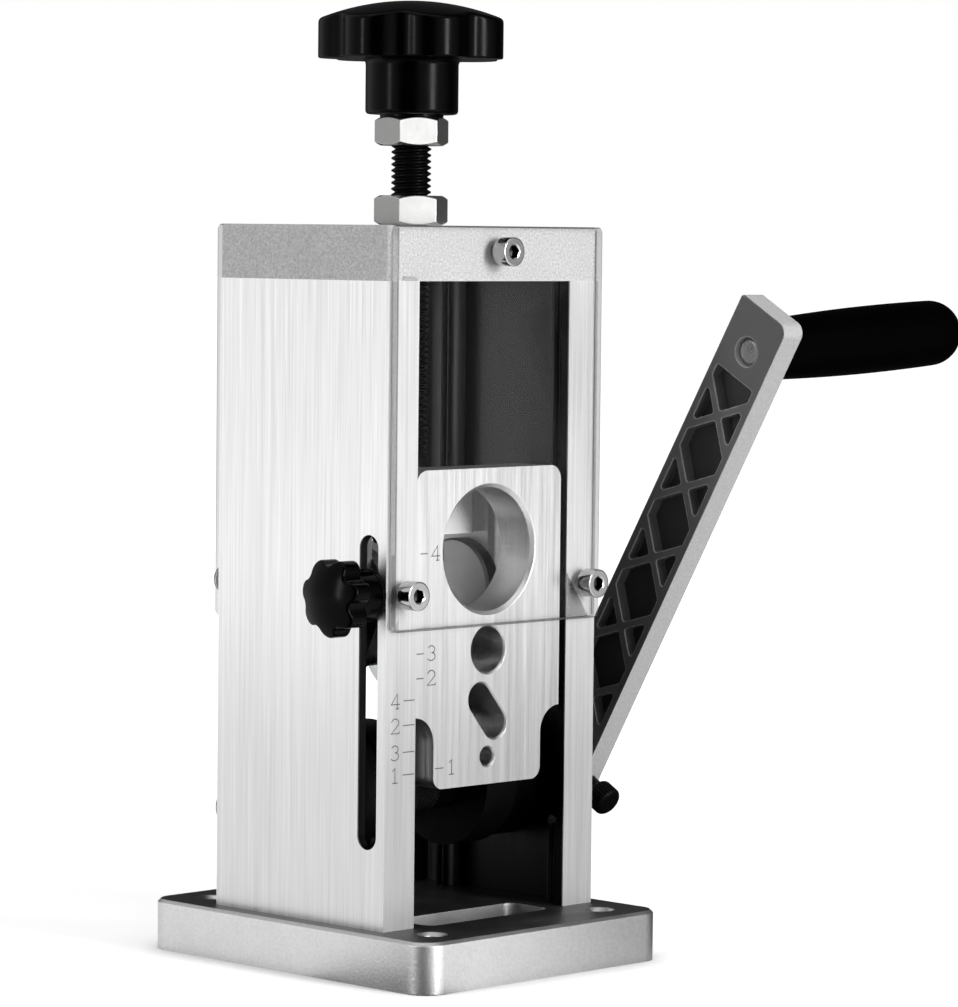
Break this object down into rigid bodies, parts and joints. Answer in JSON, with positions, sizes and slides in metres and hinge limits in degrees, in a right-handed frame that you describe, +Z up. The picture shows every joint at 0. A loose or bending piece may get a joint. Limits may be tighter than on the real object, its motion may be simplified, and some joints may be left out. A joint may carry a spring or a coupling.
{
  "type": "hand crank wire stripper",
  "caption": "Bench wire stripper: an upright channel tower with a sliding wire guide, a screw-adjusted round blade over a feed roller, clear covers and a ribbed hand crank.",
  "frame": {"origin": "centre of the base plate's underside", "axes": "+Z up along the tower and the spindle, -Y towards the front where the wire goes in, +X towards the crank"},
  "size_m": [0.1845, 0.1233, 0.2353],
  "materials": {
    "brushed_aluminium": "brushed, clear anodised",
    "blasted_aluminium": "bead blasted, matt",
    "cast_aluminium": "cast and tumbled",
    "black_casting": "satin black",
    "black_steel": "black oxide",
    "black_plastic": "moulded, glossy",
    "grip_plastic": "moulded, satin",
    "plated_steel": "zinc plated",
    "steel": "turned",
    "blade_steel": "ground",
    "clear_sheet": "clear acrylic",
    "bronze": "sintered bronze"
  },
  "bodies": {
    "tower": {"base_plate": "blasted_aluminium", "left_channel": "brushed_aluminium", "right_channel": "brushed_aluminium", "top_cap": "blasted_aluminium", "front_cover": "clear_sheet", "rear_cover": "clear_sheet", "front_cover_screws": "plated_steel", "rear_cover_screws": "plated_steel", "base_screws": "plated_steel", "cap_screws": "plated_steel", "roller_bracket": "black_casting", "bracket_washers": "plated_steel", "bracket_screws": "plated_steel", "left_bush": "bronze", "right_bush": "bronze"},
    "crank": {"drive_shaft": "steel", "roller_key": "steel", "feed_roller": "black_steel", "crank_arm": "cast_aluminium", "grip_bolt": "plated_steel"},
    "crank_grip": {"grip": "grip_plastic"},
    "crank_thumb_screw": {"thumb_screw": "black_steel"},
    "wire_guide": {"guide_block": "brushed_aluminium", "guide_stud": "plated_steel", "guide_pin": "steel", "guide_washer": "black_steel"},
    "wire_guide_knob": {"guide_knob": "black_plastic"},
    "spindle_lock": {"lock_nut": "plated_steel"},
    "carriage": {"blade_carriage": "cast_aluminium", "left_cheek": "steel", "right_cheek": "steel", "cheek_screws": "plated_steel", "blade_axle": "steel", "axle_clips": "plated_steel", "blade_spacers": "steel"},
    "cutting_blade": {"blade": "blade_steel"},
    "spindle_assembly": {"spindle": "black_steel", "knob_nut": "plated_steel", "top_knob": "black_plastic", "spindle_ring": "plated_steel", "spindle_end_washer": "plated_steel", "spindle_end_nut": "plated_steel"}
  },
  "joints": [
    {"name": "crank_turn", "type": "hinge", "parent": "tower", "child": "crank", "pos_m": [0, 0, 0.0426], "axis": [1, 0, 0], "continuous": true},
    {"name": "grip_spin", "type": "hinge", "parent": "crank", "child": "crank_grip", "pos_m": [0.0544, -0.06216, 0.14984], "axis": [0.9976, -0.035, 0.0603], "continuous": true},
    {"name": "thumb_screw_turn", "type": "hinge", "parent": "crank", "child": "crank_thumb_screw", "pos_m": [0.0578, 0, 0.0426], "axis": [0, -0.8652, -0.5015], "range_deg": [0, 360]},
    {"name": "guide_height", "type": "slide", "parent": "tower", "child": "wire_guide", "axis": [0, 0, 1], "range_m": [-0.0346, 0.011]},
    {"name": "guide_knob_turn", "type": "hinge", "parent": "wire_guide", "child": "wire_guide_knob", "pos_m": [-0.04, -0.02357, 0.0923], "axis": [-1, 0, 0], "range_deg": [0, 360]},
    {"name": "lock_nut_turn", "type": "hinge", "parent": "tower", "child": "spindle_lock", "pos_m": [0, 0, 0.18], "axis": [0, 0, 1], "range_deg": [0, 90]},
    {"name": "carriage_height", "type": "slide", "parent": "tower", "child": "carriage", "axis": [0, 0, 1], "range_m": [-0.012, 0.018]},
    {"name": "blade_spin", "type": "hinge", "parent": "carriage", "child": "cutting_blade", "pos_m": [-0.001, 0, 0.0788], "axis": [1, 0, 0], "continuous": true},
    {"name": "spindle_turn", "type": "hinge", "parent": "carriage", "child": "spindle_assembly", "pos_m": [0, 0, 0.2], "axis": [0, 0, 1], "range_deg": [-2890, 4330]}
  ],
  "couplings": [
    {"joint": "spindle_turn", "follows": "carriage_height", "rad_per_m": 4188.8}
  ]
}
